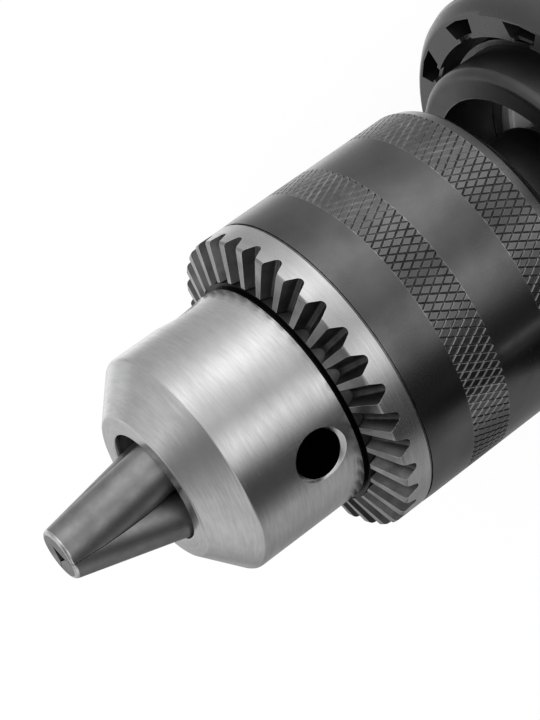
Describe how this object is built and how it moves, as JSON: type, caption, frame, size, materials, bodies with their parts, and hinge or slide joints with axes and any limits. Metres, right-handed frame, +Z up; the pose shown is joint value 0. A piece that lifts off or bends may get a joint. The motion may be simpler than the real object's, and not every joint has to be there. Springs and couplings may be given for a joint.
{
  "type": "hammer drill",
  "caption": "Corded hammer drill with a pistol grip, a keyed chuck with a toothed knurled sleeve, and a ring-clamped side handle with a depth rod.",
  "frame": {"origin": "on the spindle's axis, at the tips of the closed jaws", "axes": "+X along the spindle towards the back of the drill, +Z up, so the side handle points to -Y and the grip to -Z"},
  "size_m": [0.2512, 0.1992, 0.2094],
  "materials": {
    "ground_steel": "ground and bright",
    "jaw_steel": "hardened, dark satin",
    "chuck_sleeve": "black oxide, knurled, with a ground ring of teeth",
    "dark_steel": "phosphated",
    "shaft_steel": "turned",
    "spring_steel": "oiled wire",
    "bearing_steel": "polished",
    "sintered_steel": "sintered, oiled",
    "sintered_bronze": "sintered bronze",
    "gear_case": "dark grey, satin",
    "cast_alloy": "as cast",
    "screw_steel": "zinc plated, dull",
    "lamination": "stacked and varnished",
    "copper_wire": "enamelled copper",
    "commutator_copper": "turned copper",
    "carbon": "pressed carbon",
    "brass_sheet": "pressed sheet",
    "shell_plastic": "glass-filled plastic, fine grain",
    "black_plastic": "moulded, fine grain",
    "control_plastic": "moulded, satin",
    "dial_plastic": "moulded, satin",
    "soft_rubber": "soft overmould",
    "grip_rubber": "ribbed",
    "capacitor_case": "potted",
    "rod_steel": "zinc plated"
  },
  "bodies": {
    "housing": {"gear_housing": "gear_case", "front_bearing": "bearing_steel", "retaining_ring": "dark_steel", "fixed_ratchet": "sintered_steel", "ratchet_spring": "spring_steel", "bearing_plate": "cast_alloy", "spindle_bush": "sintered_bronze", "gear_housing_screws": "screw_steel", "motor_front_bearing": "bearing_steel", "motor_rear_bearing": "bearing_steel", "bearing_boot": "soft_rubber", "field_core": "lamination", "field_windings": "copper_wire", "brush_holder_left": "brass_sheet", "brush_holder_right": "brass_sheet", "brush_spring_left": "spring_steel", "brush_spring_right": "spring_steel", "housing_left": "shell_plastic", "housing_right": "shell_plastic", "shell_screws": "screw_steel", "grip_pads": "soft_rubber", "switch_body": "black_plastic", "capacitor": "capacitor_case", "cord_clamp": "black_plastic", "clamp_screws": "screw_steel", "cord_bush": "soft_rubber"},
    "hammer_washer": {"thrust_washer": "spring_steel"},
    "spindle": {"spindle": "shaft_steel", "spindle_gear": "sintered_steel", "turning_ratchet": "sintered_steel", "chuck_body": "ground_steel", "chuck_screw": "dark_steel", "thrust_race": "bearing_steel"},
    "chuck_sleeve": {"chuck_sleeve": "chuck_sleeve", "split_nut": "dark_steel"},
    "jaw_1": {"jaw_1": "jaw_steel"},
    "jaw_2": {"jaw_2": "jaw_steel"},
    "jaw_3": {"jaw_3": "jaw_steel"},
    "armature": {"armature_shaft": "shaft_steel", "armature_core": "lamination", "armature_windings": "copper_wire", "commutator": "commutator_copper", "fan": "black_plastic"},
    "brush_left": {"brush_left": "carbon"},
    "brush_right": {"brush_right": "carbon"},
    "trigger": {"trigger": "control_plastic"},
    "speed_dial": {"speed_dial": "dial_plastic"},
    "lock_button": {"lock_button": "control_plastic"},
    "direction_lever": {"direction_lever": "control_plastic"},
    "mode_selector": {"mode_selector": "control_plastic", "selector_plate": "screw_steel"},
    "side_handle": {"clamp_ring": "black_plastic", "clamp_band": "spring_steel", "clamp_stud": "rod_steel"},
    "side_grip": {"side_grip": "grip_rubber", "clamp_nut": "rod_steel"},
    "depth_rod": {"depth_rod": "rod_steel"},
    "thumb_screw": {"thumb_screw": "black_plastic"}
  },
  "joints": [
    {"name": "hammer_slide", "type": "slide", "parent": "housing", "child": "hammer_washer", "axis": [-1, 0, 0], "range_m": [-0.0012, 0], "stiffness_N_per_m": 8000, "springref_m": 0.002, "deforming": ["ratchet_spring"]},
    {"name": "spindle_spin", "type": "hinge", "parent": "hammer_washer", "child": "spindle", "pos_m": [0.1, 0, 0], "axis": [1, 0, 0], "continuous": true},
    {"name": "armature_spin", "type": "hinge", "parent": "housing", "child": "armature", "pos_m": [0.15, 0, -0.0245], "axis": [1, 0, 0], "continuous": true},
    {"name": "chuck_sleeve_turn", "type": "hinge", "parent": "spindle", "child": "chuck_sleeve", "pos_m": [0.05, 0, 0], "axis": [-1, 0, 0], "range_deg": [0, 2880]},
    {"name": "jaw_1_slide", "type": "slide", "parent": "spindle", "child": "jaw_1", "axis": [0.9636, 0.0084, 0.2671], "range_m": [0, 0.02152]},
    {"name": "jaw_2_slide", "type": "slide", "parent": "spindle", "child": "jaw_2", "axis": [0.9636, 0.2271, -0.1408], "range_m": [0, 0.02152]},
    {"name": "jaw_3_slide", "type": "slide", "parent": "spindle", "child": "jaw_3", "axis": [0.9636, -0.2355, -0.1263], "range_m": [0, 0.02152]},
    {"name": "brush_left_slide", "type": "slide", "parent": "housing", "child": "brush_left", "axis": [0, -1, 0], "range_m": [0, 0.003], "stiffness_N_per_m": 100, "springref_m": -0.02, "deforming": ["brush_spring_left"]},
    {"name": "brush_right_slide", "type": "slide", "parent": "housing", "child": "brush_right", "axis": [0, 1, 0], "range_m": [0, 0.003], "stiffness_N_per_m": 100, "springref_m": -0.02, "deforming": ["brush_spring_right"]},
    {"name": "trigger_pull", "type": "slide", "parent": "housing", "child": "trigger", "axis": [1, 0, 0], "range_m": [0, 0.006], "stiffness_N_per_m": 200, "springref_m": -0.006},
    {"name": "speed_dial_turn", "type": "hinge", "parent": "trigger", "child": "speed_dial", "pos_m": [0.1801, 0, -0.074], "axis": [-1, 0, 0], "range_deg": [0, 300]},
    {"name": "lock_button_push", "type": "slide", "parent": "housing", "child": "lock_button", "axis": [0, 1, 0], "range_m": [0, 0.0025], "stiffness_N_per_m": 150, "springref_m": -0.003},
    {"name": "direction_lever_swing", "type": "hinge", "parent": "housing", "child": "direction_lever", "pos_m": [0.2121, 0, -0.0636], "axis": [0, 0, 1], "range_deg": [-12, 12]},
    {"name": "mode_slide", "type": "slide", "parent": "housing", "child": "mode_selector", "axis": [0, 1, 0], "range_m": [0, 0.008]},
    {"name": "side_handle_turn", "type": "hinge", "parent": "housing", "child": "side_handle", "pos_m": [0.0924, 0, 0], "axis": [-1, 0, 0], "range_deg": [-30, 180]},
    {"name": "side_grip_turn", "type": "hinge", "parent": "side_handle", "child": "side_grip", "pos_m": [0.0924, -0.1, 0], "axis": [0, -1, 0], "range_deg": [0, 720]},
    {"name": "depth_rod_slide", "type": "slide", "parent": "side_handle", "child": "depth_rod", "axis": [-1, 0, 0], "range_m": [-0.01, 0.083]},
    {"name": "thumb_screw_turn", "type": "hinge", "parent": "side_handle", "child": "thumb_screw", "pos_m": [0.0924, -0.0385, 0.0185], "axis": [0, 0, 1], "range_deg": [0, 720]}
  ],
  "couplings": [
    {"joint": "armature_spin", "follows": "spindle_spin", "ratio": -9},
    {"joint": "jaw_1_slide", "follows": "chuck_sleeve_turn", "m_per_rad": 0.00042805},
    {"joint": "jaw_2_slide", "follows": "chuck_sleeve_turn", "m_per_rad": 0.00042805},
    {"joint": "jaw_3_slide", "follows": "chuck_sleeve_turn", "m_per_rad": 0.00042805}
  ]
}
